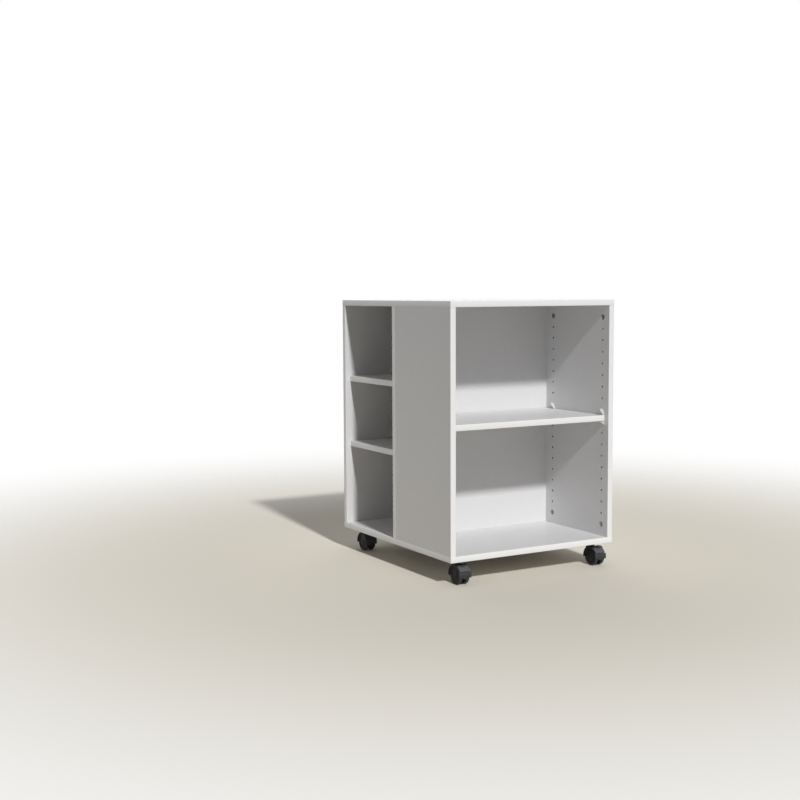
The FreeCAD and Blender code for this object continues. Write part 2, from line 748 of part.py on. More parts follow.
def build_casters():
    """Four casters with the wheels trailing towards the front, and their screws."""
    wheel = right_wheel()
    tyre = right_tyre()
    middle = Vector(0, 0, 0)
    shared = {
        "plate": caster_plate(),
        "stem": swivel_stem(),
        "axle": axle_pin(),
        "wheel_right": wheel,
        "tyre_right": tyre,
        "wheel_left": wheel.mirror(middle, ALONG_X),
        "tyre_left": tyre.mirror(middle, ALONG_X),
    }
    screws = []
    for corner, (x, y) in caster_corners().items():
        braked = corner.startswith("front")
        pieces = dict(shared, hood=hood(braked))
        if braked:
            pieces["brake_pedal"] = brake_pedal()
        for piece, shape in pieces.items():
            save(corner + "_caster_" + piece, placed(shape, 0, (x, y, 0)))
        for screw_x, screw_y in screw_points():
            screws.append(placed(caster_screw(), 0, (x + screw_x, y + screw_y, 0)))
    save("caster_screws", *screws)


os.makedirs("parts", exist_ok=True)
build_cabinet()
build_casters()
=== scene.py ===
import math

import bmesh
import bpy
from mathutils import Matrix, Vector


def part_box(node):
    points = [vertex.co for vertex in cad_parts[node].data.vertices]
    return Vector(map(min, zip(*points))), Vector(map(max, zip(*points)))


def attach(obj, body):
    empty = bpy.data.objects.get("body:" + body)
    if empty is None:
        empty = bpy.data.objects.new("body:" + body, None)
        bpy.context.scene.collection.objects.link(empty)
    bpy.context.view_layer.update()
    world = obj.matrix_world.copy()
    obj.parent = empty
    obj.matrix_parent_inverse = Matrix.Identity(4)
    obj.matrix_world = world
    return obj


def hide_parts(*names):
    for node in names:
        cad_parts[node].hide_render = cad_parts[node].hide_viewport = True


# Storage cart in metres. +Z is up, the front bay opens towards -Y and the side bay towards -X.
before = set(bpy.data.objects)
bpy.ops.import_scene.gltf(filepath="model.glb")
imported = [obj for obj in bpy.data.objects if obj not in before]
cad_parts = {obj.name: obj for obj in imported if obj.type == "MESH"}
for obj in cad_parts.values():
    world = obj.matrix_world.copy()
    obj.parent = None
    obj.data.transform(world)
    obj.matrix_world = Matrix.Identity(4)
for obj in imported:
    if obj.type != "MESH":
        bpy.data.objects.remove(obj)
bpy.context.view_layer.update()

# Boards and their edge bands
BOARD = 0.016
BOARD_EASE = 0.0002
JOINT_EASE = 0.0006
EASE_STEPS = 2
ROUND_PROFILE = 0.5
BAND_ROUND = 0.0008
BAND_STEPS = 3
BAND_SMOOTH = 50.0
BANDED_SIDES = {
    "top_panel": ("front", "back", "left", "right"),
    "bottom_panel": ("front", "back", "left", "right"),
    "left_side_panel": ("front",),
    "right_side_panel": ("front", "back"),
    "partition_panel": ("left",),
    "rear_panel": ("left",),
    "front_shelf": ("front",),
    "side_shelf_lower": ("left",),
    "side_shelf_upper": ("left",),
}

# Rows of blind holes, counted up from the cabinet's floor
HOLE_PITCH = 0.032
HOLE_RADIUS = 0.0025
HOLE_DEPTH = 0.011
HOLE_EASE = 0.0003
HOLE_STEPS = 28
DRILL_OUT = 0.0006
FRONT_HOLES = range(2, 19)
SIDE_HOLES = range(1, 20)
FRONT_ROW_INSET = 0.028
BACK_ROW_INSET = 0.032
SIDE_ROW_X = 0.107

# Cam locks
CAM_RADIUS = 0.0074
CAM_POCKET_RADIUS = 0.0075
CAM_POCKET_DEPTH = 0.0125
CAM_RECESS = 0.0003
CAM_RIM = 0.0011
CAM_DISH = 0.0006
CAM_SLOT_LENGTH = 0.0104
CAM_SLOT_WIDTH = 0.0019
CAM_SLOT_DEPTH = 0.002
CAM_STEPS = 48
CAM_SMOOTH = 35.0
REAR_CAM_INSET = 0.048
SIDE_CAM_X = 0.064

# Shelf supports
SUPPORT_HALF = 0.0105
SUPPORT_PLATE = 0.0016
SUPPORT_FOOT = 0.008
SUPPORT_CAP = 0.003
LEDGE_REACH = 0.013
LEDGE_THICKNESS = 0.004
LEDGE_RISE = 0.0024
BLOCK_ROOT_REACH = 0.004
BLOCK_NOSE_REACH = 0.012
BLOCK_TOP_HALF = 0.0027
BLOCK_CLEARANCE = 0.0003
PIN_RADIUS = 0.00245
PIN_LENGTH = 0.009
PIN_STEPS = 24
SUPPORT_EASE = 0.0005
SUPPORT_SMOOTH = 40.0
SHELF_HOLES = {"front_shelf": 10, "side_shelf_lower": 7, "side_shelf_upper": 13}

# Caster wheels and tyres
CASTER_INSET_X = 0.042
CASTER_INSET_Y = 0.043
TRAIL = 0.020
WHEEL_RADIUS = 0.025
WHEEL_WIDTH = 0.008
WHEEL_GAP = 0.014
TYRE_WALL = 0.003
TYRE_ROUND = 0.0014
TYRE_STEPS = 5
HUB_RADIUS = 0.0065
HUB_END_WALL = 0.0025
HUB_BORE_RADIUS = 0.00305
BACK_RECESS = 0.003
DISH_DEPTH = 0.0015
WHEEL_EASE = 0.0004
RIM_WALL = 0.0024

# Caster hoods
HOOD_WIDTH = 0.037
HOOD_INNER = 0.0258
HOOD_OUTER = 0.0276
HOOD_EDGE = 0.0008
CORNER_STEPS = 3
ARC_STEP = 2.5
WHEEL_ROOM = 0.0256
SKIRT_ANGLE = -10.0
HOOD_BACK_ANGLE = 190.0
WINDOW_START = 24.17
WINDOW_END = 62.22
WINDOW_FLOOR = 0.0248
NECK_RADIUS = 0.012
NECK_FOOT = 0.033
NECK_TOP = 0.0592
WEB_HALF = 0.005
WEB_FOOT = 0.017
WEB_STEP = 3.0
BOSS_HALF = 0.0067
AXLE_BOSS_RADIUS = 0.006
AXLE_BORE_RADIUS = 0.00302
STEM_BOSS_FOOT = 0.0227
STEM_BORE_FOOT = 0.0247
STEM_BORE_RADIUS = 0.00405
BAR_STEPS = 48
BAR_EASE = 0.0004
ROUND_STEPS = 72
CASTER_SMOOTH = 32.0

# Brake pedals
PEDAL_TOE_ANGLE = 25.0
PEDAL_PIVOT_ANGLE = 58.0
PEDAL_WIDTH = 0.031
PEDAL_INNER = 0.02535
PEDAL_OUTER = 0.02775
PEDAL_TRAVEL = 5.0
BARREL_RADIUS = 0.0015
BARREL_BORE_RADIUS = 0.001545
BARREL_STEPS = 32
LUG_RADIUS = 0.0027
SLOT_CLEARANCE = 0.0004
SLOT_EASE = 0.0001
PEDAL_RIBS = (29.5, 33.5, 37.5, 41.5)
RIB_RADIUS = 0.0007
RIB_WIDTH = 0.026
RIB_SINK = 0.000175
RIB_STEPS = 20

# Caster plates and screws. A screw head's dome is given as shares of its height and radius.
SCREW_SPACING = 0.034
SCREW_HEAD_RADIUS = 0.0035
SCREW_HEAD_HEIGHT = 0.0022
SCREW_DOME = ((0.03, 0.4), (0.18, 0.75), (0.5, 0.96), (0.8, 1.0))
SCREW_SHANK_RADIUS = 0.00175
SCREW_SLOT_REACH = 0.0021
SCREW_SLOT_HALF = 0.00056
SCREW_SLOT_DEPTH = 0.0011
SCREW_STEPS = 32
PLATE_HALF = 0.023
PLATE_CORNER = 0.005
PLATE_EASE = 0.0004
PLATE_STEPS = 6
PLATE_UNDER = 0.0595
PLATE_TOP = 0.062

# Points closer than this are one
MERGE_DISTANCE = 1e-7

# Cloudy tone, uneven gloss and fine grain of all surfaces. The first two are coarser than the grain.
NOISE_DETAIL = 2.0
NOISE_ROUGHNESS = 0.55
NOISE_LOW = 0.3
NOISE_HIGH = 0.7
CLOUD_COARSENESS = 14
GLOSS_COARSENESS = 5
GLOSS_SPREAD = 0.06
GRAIN_STRENGTH = 0.12
GRAIN_HEIGHT = 0.0002

# Camera in front of the cart's left corner, for a square picture
LENS = 55.79
SENSOR = 36.0
CAMERA_PLACE = (-1.9355, -2.9453, 0.7579)
CAMERA_YAW = 0.5219
CAMERA_PITCH = 0.0872
CAMERA_ROLL = -0.0049

# Lamps as the way their light goes, its strength and how broad the lamp looks, and even fill
LAMPS = {
    "key": ((0.10, 1.0, -0.81), 2.6, 0.065),
    "back": ((-0.45, -1.0, -0.9), 0.75, 1.2),
}
FILL_STRENGTH = 0.18
WHITE = (1.0, 1.0, 1.0, 1.0)

# Floor, which fades out with the distance from the cart
FLOOR_SIZE = 60.0
FLOOR_DROP = 0.0002
FLOOR_COLOUR = (0.74, 0.70, 0.615, 1.0)
FADE_START = 0.7
FADE_END = 2.6

# Places read from the solids
BODY_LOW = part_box("bottom_panel_edging")[0]
BODY_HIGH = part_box("top_panel_edging")[1]
Z_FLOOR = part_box("bottom_panel")[1].z
Z_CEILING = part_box("top_panel")[0].z
X_LEFT_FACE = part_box("left_side_panel")[1].x
X_RIGHT_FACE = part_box("right_side_panel")[0].x
Y_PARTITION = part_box("partition_panel")[0].y
Y_PARTITION_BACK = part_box("partition_panel")[1].y
Y_REAR_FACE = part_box("rear_panel")[0].y
FRONT_ROWS = (BODY_LOW.y + FRONT_ROW_INSET, Y_PARTITION - BACK_ROW_INSET)
SIDE_ROWS = (-SIDE_ROW_X, SIDE_ROW_X)
SIDE_CAMS = (-SIDE_CAM_X, SIDE_CAM_X)
FRONT_PANELS = ("left_side_panel", "right_side_panel")
SIDE_PANELS = ("partition_panel", "rear_panel")


# Shaders

def shader(name, **values):
    """New material with its principled shader's plain values set on their own sockets."""
    material = bpy.data.materials.new(name)
    material.use_nodes = True
    principled = material.node_tree.nodes["Principled BSDF"]
    for socket, value in values.items():
        principled.inputs[socket.replace("_", " ")].default_value = value
    return material


def add_node(material, kind, **inputs):
    """New node in a material with some of its input values set."""
    node = material.node_tree.nodes.new(kind)
    for socket, value in inputs.items():
        node.inputs[socket.replace("_", " ")].default_value = value
    return node


def noise(material, scale):
    """Soft noise over the object with a number of spots per metre."""
    place = add_node(material, "ShaderNodeTexCoord")
    character = {"Scale": scale, "Detail": NOISE_DETAIL, "Roughness": NOISE_ROUGHNESS}
    node = add_node(material, "ShaderNodeTexNoise", **character)
    material.node_tree.links.new(place.outputs["Object"], node.inputs["Vector"])
    return node.outputs["Fac"]


def spread(material, source, low, high):
    """Map a noise's middle range onto values from low to high."""
    limits = {"From_Min": NOISE_LOW, "From_Max": NOISE_HIGH, "To_Min": low, "To_Max": high}
    node = add_node(material, "ShaderNodeMapRange", **limits)
    material.node_tree.links.new(source, node.inputs["Value"])
    return node.outputs["Result"]


def tinted(material, source, dark, light):
    """Colour between two tones, chosen by a noise."""
    node = add_node(material, "ShaderNodeMix")
    node.data_type = "RGBA"
    ends = [socket for socket in node.inputs if socket.type == "RGBA"]
    for socket, colour in zip(ends, (dark, light)):
        socket.default_value = (*colour, 1.0)
    material.node_tree.links.new(source, node.inputs["Factor"])
    return [socket for socket in node.outputs if socket.type == "RGBA"][0]


def wire(material, socket, source):
    """Link a source into the principled shader."""
    principled = material.node_tree.nodes["Principled BSDF"]
    material.node_tree.links.new(source, principled.inputs[socket])


def bumped(material, source):
    """Raise the surface a little by a noise."""
    node = add_node(material, "ShaderNodeBump", Strength=GRAIN_STRENGTH, Distance=GRAIN_HEIGHT)
    material.node_tree.links.new(source, node.inputs["Height"])
    wire(material, "Normal", node.outputs["Normal"])


def shade(colour, factor):
    """Colour made lighter or darker."""
    return tuple(channel * factor for channel in colour)


def moulded(name, colour, roughness, grain, variation, metallic=0.0, gloss=0.5):
    """Surface with cloudy tone, uneven gloss and a fine grain."""
    material = shader(name, Metallic=metallic, Specular_IOR_Level=gloss)
    cloud = spread(material, noise(material, grain / CLOUD_COARSENESS), 0.0, 1.0)
    tone = tinted(material, cloud, shade(colour, 1 - variation), shade(colour, 1 + variation))
    wire(material, "Base Color", tone)
    patches = noise(material, grain / GLOSS_COARSENESS)
    wire(material, "Roughness", spread(material, patches, roughness - GLOSS_SPREAD, roughness + GLOSS_SPREAD))
    bumped(material, noise(material, grain))
    return material


# Each has its colour, roughness, grain in spots per metre and variation of tone
melamine = moulded("light_grey_melamine", (0.725, 0.722, 0.728), 0.42, 1400.0, 0.012, gloss=0.45)
banding = moulded("light_grey_edge_band", (0.83, 0.828, 0.832), 0.42, 1400.0, 0.01, gloss=1.0)
core = moulded("raw_chipboard", (0.27, 0.235, 0.195), 0.85, 700.0, 0.25)
support_plastic = moulded("pale_support_plastic", (0.60, 0.60, 0.575), 0.4, 1600.0, 0.02)
# Dull zinc, its tone darker than bare zinc as painted shade for cam locks that sit in shadow
shade_darkened_zinc = moulded("dull_zinc_darkened_as_painted_shade", (0.32, 0.32, 0.33), 0.42, 1800.0, 0.10, metallic=1.0)
steel = moulded("plated_steel", (0.56, 0.57, 0.58), 0.3, 1500.0, 0.06, metallic=1.0)
beech = moulded("plain_beech", (0.62, 0.46, 0.28), 0.6, 500.0, 0.12)
hood_plastic = moulded("black_hood_plastic", (0.034, 0.034, 0.038), 0.38, 2600.0, 0.08, gloss=0.3)
pedal_plastic = moulded("dark_pedal_plastic", (0.095, 0.095, 0.1), 0.48, 2600.0, 0.08, gloss=0.3)
wheel_plastic = moulded("black_wheel_plastic", (0.02, 0.02, 0.022), 0.45, 2000.0, 0.08, gloss=0.15)
tyre_rubber = moulded("dark_tyre_rubber", (0.06, 0.06, 0.06), 0.65, 1500.0, 0.12, gloss=0.12)


# Mesh helpers

def box_mesh(low, high):
    """Box between two corners."""
    mesh = bmesh.new()
    size = Vector(high) - Vector(low)
    middle = (Vector(high) + Vector(low)) / 2
    placing = Matrix.Translation(middle) @ Matrix.Diagonal((*size, 1.0))
    bmesh.ops.create_cube(mesh, size=1.0, matrix=placing)
    return mesh


def eased(mesh, edges, size, steps):
    """Round some edges of a mesh."""
    bmesh.ops.bevel(
        mesh, geom=list(edges), offset=size, segments=steps, affect="EDGES", profile=ROUND_PROFILE
    )
    return mesh


def lathe(profile, steps, closed=False):
    """Solid of revolution about X from (x, radius) points."""
    mesh = bmesh.new()
    turns = [2 * math.pi * index / steps for index in range(steps)]
    rings = []
    for x, radius in profile:
        if radius == 0:
            rings.append([mesh.verts.new((x, 0, 0))])
        else:
            rings.append([mesh.verts.new((x, radius * math.cos(t), radius * math.sin(t))) for t in turns])
    pairs = list(zip(rings, rings[1:]))
    if closed:
        pairs.append((rings[-1], rings[0]))
    for near, far in pairs:
        for index in range(steps):
            after = (index + 1) % steps
            corners = [
                near[index % len(near)],
                near[after % len(near)],
                far[after % len(far)],
                far[index % len(far)],
            ]
            mesh.faces.new(dict.fromkeys(corners))
    bmesh.ops.recalc_face_normals(mesh, faces=mesh.faces)
    return mesh


def skin(mesh, near, far):
    """Faces between two rings of as many points."""
    for index in range(len(near)):
        after = (index + 1) % len(near)
        mesh.faces.new((near[index], near[after], far[after], far[index]))


def prism(outline, start, depth):
    """Solid made by pushing an outline of points along a vector."""
    mesh = bmesh.new()
    near = [mesh.verts.new(Vector(point) + Vector(start)) for point in outline]
    far = [mesh.verts.new(Vector(point) + Vector(start) + Vector(depth)) for point in outline]
    mesh.faces.new(near)
    mesh.faces.new(far)
    skin(mesh, near, far)
    bmesh.ops.recalc_face_normals(mesh, faces=mesh.faces)
    return mesh


def rounded_box(x_low, x_high, y_low, y_high, corner, steps):
    """Outline of a rectangle with rounded corners, as pairs."""
    centres = (
        (x_high - corner, y_high - corner, 0),
        (x_low + corner, y_high - corner, 90),
        (x_low + corner, y_low + corner, 180),
        (x_high - corner, y_low + corner, 270),
    )
    points = []
    for x, y, start in centres:
        for step in range(steps + 1):
            turn = math.radians(start + 90 * step / steps)
            points.append((x + corner * math.cos(turn), y + corner * math.sin(turn)))
    return points


def moved(mesh, matrix):
    """The mesh itself, after a placing."""
    bmesh.ops.transform(mesh, matrix=matrix, verts=mesh.verts)
    if matrix.determinant() < 0:
        bmesh.ops.reverse_faces(mesh, faces=mesh.faces)
    return mesh


def joined(parts):
    """One mesh from several separate ones, which are used up."""
    whole = bmesh.new()
    for part in parts:
        data = bpy.data.meshes.new("part")
        part.to_mesh(data)
        part.free()
        whole.from_mesh(data)
        bpy.data.meshes.remove(data)
    return whole


def copies(mesh, places):
    """Copies of a mesh at several placings, as one mesh. The first is used up."""
    parts = [moved(mesh.copy(), place) for place in places]
    mesh.free()
    return joined(parts)


def as_object(mesh, materials=()):
    """Temporary object from a mesh, which is used up."""
    data = bpy.data.meshes.new("solid")
    mesh.to_mesh(data)
    mesh.free()
    for material in materials:
        data.materials.append(material)
    thing = bpy.data.objects.new("solid", data)
    bpy.context.scene.collection.objects.link(thing)
    return thing


def combined(base, tool, operation, materials=()):
    """Mesh left when a tool is added to or taken from a base. Both are used up."""
    first = as_object(base, materials)
    second = as_object(tool, materials)
    step = first.modifiers.new("combine", "BOOLEAN")
    step.operation = operation
    step.solver = "EXACT"
    step.object = second
    bpy.context.view_layer.update()
    graph = bpy.context.evaluated_depsgraph_get()
    data = bpy.data.meshes.new_from_object(first.evaluated_get(graph))
    result = bmesh.new()
    result.from_mesh(data)
    bpy.data.meshes.remove(data)
    for thing in (first, second):
        used = thing.data
        bpy.data.objects.remove(thing)
        bpy.data.meshes.remove(used)
    bmesh.ops.remove_doubles(result, verts=result.verts, dist=MERGE_DISTANCE)
    bmesh.ops.dissolve_degenerate(result, edges=result.edges, dist=MERGE_DISTANCE)
    return result


def piece(name, mesh, body, nodes, materials, smooth_angle=None):
    """Finished piece that rides on a body and stands for some of its nodes."""
    data = bpy.data.meshes.new(name)
    mesh.to_mesh(data)
    mesh.free()
    for material in materials:
        data.materials.append(material)
    if smooth_angle is not None:
        data.shade_smooth()
        data.set_sharp_from_angle(angle=math.radians(smooth_angle))
    thing = bpy.data.objects.new(name, data)
    bpy.context.scene.collection.objects.link(thing)
    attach(thing, body)
    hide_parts(*nodes)
    return thing


# Cabinet

def panel_face(panel, along, height):
    """Placing of a fitting on the bay side of an upright panel: +X looks into the bay."""
    faces = {
        "left_side_panel": (Vector((X_LEFT_FACE, along, height)), 0.0),
        "right_side_panel": (Vector((X_RIGHT_FACE, along, height)), 180.0),
        "partition_panel": (Vector((along, Y_PARTITION_BACK, height)), 90.0),
        "rear_panel": (Vector((along, Y_REAR_FACE, height)), -90.0),
    }
    point, turn = faces[panel]
    return Matrix.Translation(point) @ Matrix.Rotation(math.radians(turn), 4, "Z")


def panel_rows(panel):
    """Rows of holes of an upright panel."""
    return FRONT_ROWS if panel in FRONT_PANELS else SIDE_ROWS


def panel_cams(panel):
    """Places of the cam locks along an upright panel."""
    if panel in SIDE_PANELS:
        return SIDE_CAMS
    if panel == "right_side_panel":
        return (*FRONT_ROWS, Y_REAR_FACE - REAR_CAM_INSET)
    return FRONT_ROWS


def cam_places(panel):
    """Placings of a panel's cam locks, above its floor and under its ceiling."""
    heights = (Z_FLOOR + HOLE_PITCH, Z_CEILING - HOLE_PITCH)
    return [panel_face(panel, along, height) for along in panel_cams(panel) for height in heights]


def hole_cutter():
    """Drill for one blind hole, with its mouth eased."""
    return lathe(
        [
            (-HOLE_DEPTH, 0),
            (-HOLE_DEPTH, HOLE_RADIUS),
            (-HOLE_EASE, HOLE_RADIUS),
            (0, HOLE_RADIUS + HOLE_EASE),
            (DRILL_OUT, HOLE_RADIUS + HOLE_EASE),
            (DRILL_OUT, 0),
        ],
        HOLE_STEPS,
    )


def pocket_cutter():
    """Drill for one cam lock's pocket."""
    return lathe(
        [
            (-CAM_POCKET_DEPTH, 0),
            (-CAM_POCKET_DEPTH, CAM_POCKET_RADIUS),
            (DRILL_OUT, CAM_POCKET_RADIUS),
            (DRILL_OUT, 0),
        ],
        CAM_STEPS,
    )


def panel_drills(panel):
    """All the drills that enter an upright panel from its bay."""
    drills = []
    for along in panel_rows(panel):
        for index in FRONT_HOLES if panel in FRONT_PANELS else SIDE_HOLES:
            place = panel_face(panel, along, Z_FLOOR + index * HOLE_PITCH)
            drills.append(moved(hole_cutter(), place))
    drills += [moved(pocket_cutter(), place) for place in cam_places(panel)]
    drill = joined(drills)
    for face in drill.faces:
        face.material_index = 1
    return drill


def celled(slab, panel):
    """The slab with its faces cut between the drills, so that each cell holds one of them."""
    lengthwise = Vector((0, 1, 0)) if panel in FRONT_PANELS else Vector((1, 0, 0))
    stops = sorted({*panel_rows(panel), *panel_cams(panel)})
    planes = [lengthwise * (near + far) / 2 for near, far in zip(stops, stops[1:])]
    cuts = [(plane, lengthwise) for plane in planes]
    upward = Vector((0, 0, 1))
    for index in range(round((Z_CEILING - Z_FLOOR) / HOLE_PITCH)):
        cuts.append((upward * (Z_FLOOR + (index + 0.5) * HOLE_PITCH), upward))
    for plane, normal in cuts:
        whole = [*slab.verts, *slab.edges, *slab.faces]
        bmesh.ops.bisect_plane(slab, geom=whole, plane_co=plane, plane_no=normal)
    return slab


def band_strip(board, side):
    """Strip over one cut edge, with the long corners of its outer face rounded."""
    low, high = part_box(board)
    outer_low, outer_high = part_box(board + "_edging")
    low = low.copy()
    high = high.copy()
    axis = 1 if side in ("front", "back") else 0
    if axis == 1:
        low.x = outer_low.x
        high.x = outer_high.x
    if side in ("front", "left"):
        high[axis] = low[axis]
        low[axis] = outer_low[axis]
        face = low[axis]
    else:
        low[axis] = high[axis]
        high[axis] = outer_high[axis]
        face = high[axis]
    strip = box_mesh(low, high)
    long_edges = []
    for edge in strip.edges:
        outermost = all(abs(vert.co[axis] - face) < BOARD_EASE for vert in edge.verts)
        if outermost and edge.calc_length() > 2 * BOARD:
            long_edges.append(edge)
    return eased(strip, long_edges, BAND_ROUND, BAND_STEPS)


def build_boards():
    """Laminated boards with eased edges, and the bands over their cut edges."""
    for board, sides in BANDED_SIDES.items():
        low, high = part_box(board)
        slab = box_mesh(low, high)
        if board in FRONT_PANELS + SIDE_PANELS:
            ends = [edge for edge in slab.edges if edge.verts[0].co.z == edge.verts[1].co.z]
            eased(slab, ends, JOINT_EASE, EASE_STEPS)
            slab = combined(celled(slab, board), panel_drills(board), "DIFFERENCE", (melamine, core))
        else:
            eased(slab, slab.edges, BOARD_EASE, EASE_STEPS)
        piece("laminate_" + board, slab, "cabinet", [board], (melamine, core))
        strips = joined([band_strip(board, side) for side in sides])
        piece("band_" + board, strips, "cabinet", [board + "_edging"], (banding,), BAND_SMOOTH)


def cross_outline(reach, half):
    """Corners of an upright cross about its middle, as pairs."""
    arm = [(reach, -half), (reach, half), (half, half)]
    outline = []
    for _ in range(4):
        outline += arm
        arm = [(-b, a) for a, b in arm]
    return outline


def cam_face():
    """Cam lock with a raised rim and a cross slot, its face looking along +X."""
    front = -CAM_RECESS
    floor = front - CAM_DISH
    back = -CAM_POCKET_DEPTH + CAM_RECESS
    ease = CAM_RECESS
    cam = lathe(
        [
            (back, 0),
            (back, CAM_RADIUS),
            (front - ease, CAM_RADIUS),
            (front, CAM_RADIUS - ease),
            (front, CAM_RADIUS - CAM_RIM),
            (floor, CAM_RADIUS - CAM_RIM - ease),
            (floor, 0),
        ],
        CAM_STEPS,
    )
    bottom = floor - CAM_SLOT_DEPTH
    outline = [(bottom, y, z) for y, z in cross_outline(CAM_SLOT_LENGTH / 2, CAM_SLOT_WIDTH / 2)]
    slot = prism(outline, (0, 0, 0), (CAM_DISH - bottom, 0, 0))
    return combined(cam, slot, "DIFFERENCE")


def build_cams():
    """All the cam locks."""
    places = []
    for panel in FRONT_PANELS + SIDE_PANELS:
        places += cam_places(panel)
    cams = copies(cam_face(), places)
    piece("cam_lock_faces", cams, "cabinet", ["cam_locks"], (shade_darkened_zinc,), CAM_SMOOTH)


def support_clip():
    """Moulded shelf support with its two pins, on a panel whose bay lies towards +X."""
    ledge_under = LEDGE_RISE - LEDGE_THICKNESS
    block_under = LEDGE_RISE + BOARD + BLOCK_CLEARANCE
    cap = HOLE_PITCH + SUPPORT_CAP
    side_outline = [
        (0, 0, -SUPPORT_FOOT),
        (SUPPORT_PLATE, 0, -SUPPORT_FOOT),
        (LEDGE_REACH, 0, ledge_under),
        (LEDGE_REACH, 0, LEDGE_RISE),
        (SUPPORT_PLATE, 0, LEDGE_RISE),
        (SUPPORT_PLATE, 0, block_under + SUPPORT_PLATE),
        (0, 0, block_under + SUPPORT_PLATE),
    ]
    ledge = prism(side_outline, (0, -SUPPORT_HALF, 0), (0, 2 * SUPPORT_HALF, 0))
    block = box_mesh((0, -SUPPORT_HALF, block_under), (BLOCK_ROOT_REACH, SUPPORT_HALF, cap))
    for vert in block.verts:
        if vert.co.z > (block_under + cap) / 2:
            vert.co.x *= BLOCK_NOSE_REACH / BLOCK_ROOT_REACH
            vert.co.y *= BLOCK_TOP_HALF / SUPPORT_HALF
    for part in (ledge, block):
        shown = [edge for edge in part.edges if any(vert.co.x > SUPPORT_EASE for vert in edge.verts)]
        eased(part, shown, SUPPORT_EASE, EASE_STEPS)
    clip = combined(ledge, block, "UNION")
    profile = [(-PIN_LENGTH, 0), (-PIN_LENGTH, PIN_RADIUS), (SUPPORT_EASE, PIN_RADIUS), (SUPPORT_EASE, 0)]
    for height in (0, HOLE_PITCH):
        pin = moved(lathe(profile, PIN_STEPS), Matrix.Translation((0, 0, height)))
        clip = combined(clip, pin, "UNION")
    return clip


def build_supports():
    """Four supports under each shelf."""
    for shelf, hole in SHELF_HOLES.items():
        panels = FRONT_PANELS if shelf == "front_shelf" else SIDE_PANELS
        height = Z_FLOOR + hole * HOLE_PITCH
        places = [panel_face(panel, along, height) for panel in panels for along in panel_rows(panel)]
        clips = copies(support_clip(), places)
        nodes = [shelf + "_supports"]
        plastic = (support_plastic,)
        piece("clips_" + shelf, clips, "cabinet", nodes, plastic, SUPPORT_SMOOTH)


# Casters

def around_axle(radius, angle):
    """Point about a caster's wheel axle, at an angle that rises from the front."""
    turn = math.radians(angle)
    return Vector((0, -TRAIL - radius * math.cos(turn), WHEEL_RADIUS + radius * math.sin(turn)))


def arc_shell(inner, outer, start, end, width):
    """Curved plate about the axle with rounded edges and eased ends."""
    mesh = bmesh.new()
    end_inset = HOOD_EDGE / 2
    ease = math.degrees(end_inset / outer)
    count = max(2, round((end - start) / ARC_STEP))
    stations = [(start, end_inset)]
    for index in range(count + 1):
        stations.append((start + ease + (end - start - 2 * ease) * index / count, 0.0))
    stations.append((end, end_inset))
    rings = []
    for angle, inset in stations:
        half = width / 2 - inset
        corner = HOOD_EDGE - inset
        section = rounded_box(-half, half, inner + inset, outer - inset, corner, CORNER_STEPS)
        points = [around_axle(radius, angle) + Vector((x, 0, 0)) for x, radius in section]
        rings.append([mesh.verts.new(point) for point in points])
    for near, far in zip(rings, rings[1:]):
        skin(mesh, near, far)
    mesh.faces.new(rings[0])
    mesh.faces.new(rings[-1])
    bmesh.ops.recalc_face_normals(mesh, faces=mesh.faces)
    return mesh


def bar(radius, low, high, centre, steps=BAR_STEPS, ease=BAR_EASE):
    """Round bar along X between two limits, with eased ends."""
    profile = [
        (low, 0),
        (low, radius - ease),
        (low + ease, radius),
        (high - ease, radius),
        (high, radius - ease),
        (high, 0),
    ]
    return moved(lathe(profile, steps), Matrix.Translation((0, centre.y, centre.z)))


def web_plate(braked):
    """Plate between the wheels, lower where a pedal needs room."""
    rim = (HOOD_INNER + HOOD_OUTER) / 2
    outline = []
    angle = SKIRT_ANGLE + WEB_STEP
    while angle < HOOD_BACK_ANGLE - WEB_STEP / 2:
        inside = braked and WINDOW_START - WEB_STEP < angle < WINDOW_END + WEB_STEP
        outline.append(around_axle(WINDOW_FLOOR if inside else rim, angle))
        angle += WEB_STEP
    outline.append(Vector((0, outline[-1].y, WEB_FOOT)))
    outline.append(Vector((0, outline[0].y, WEB_FOOT)))
    return prism(outline, (-WEB_HALF, 0, 0), (2 * WEB_HALF, 0, 0))


def upright(profile, steps):
    """Solid of revolution about the swivel axis from (height, radius) points."""
    return moved(lathe(profile, steps), Matrix.Rotation(-math.pi / 2, 4, "Y"))


def post(radius, foot, top):
    """Round post about the swivel axis."""
    return upright([(foot, 0), (foot, radius), (top, radius), (top, 0)], BAR_STEPS)


def pedal_pivot():
    """Point on the pedal's hinge line."""
    return around_axle(PEDAL_INNER + BARREL_RADIUS, PEDAL_PIVOT_ANGLE)


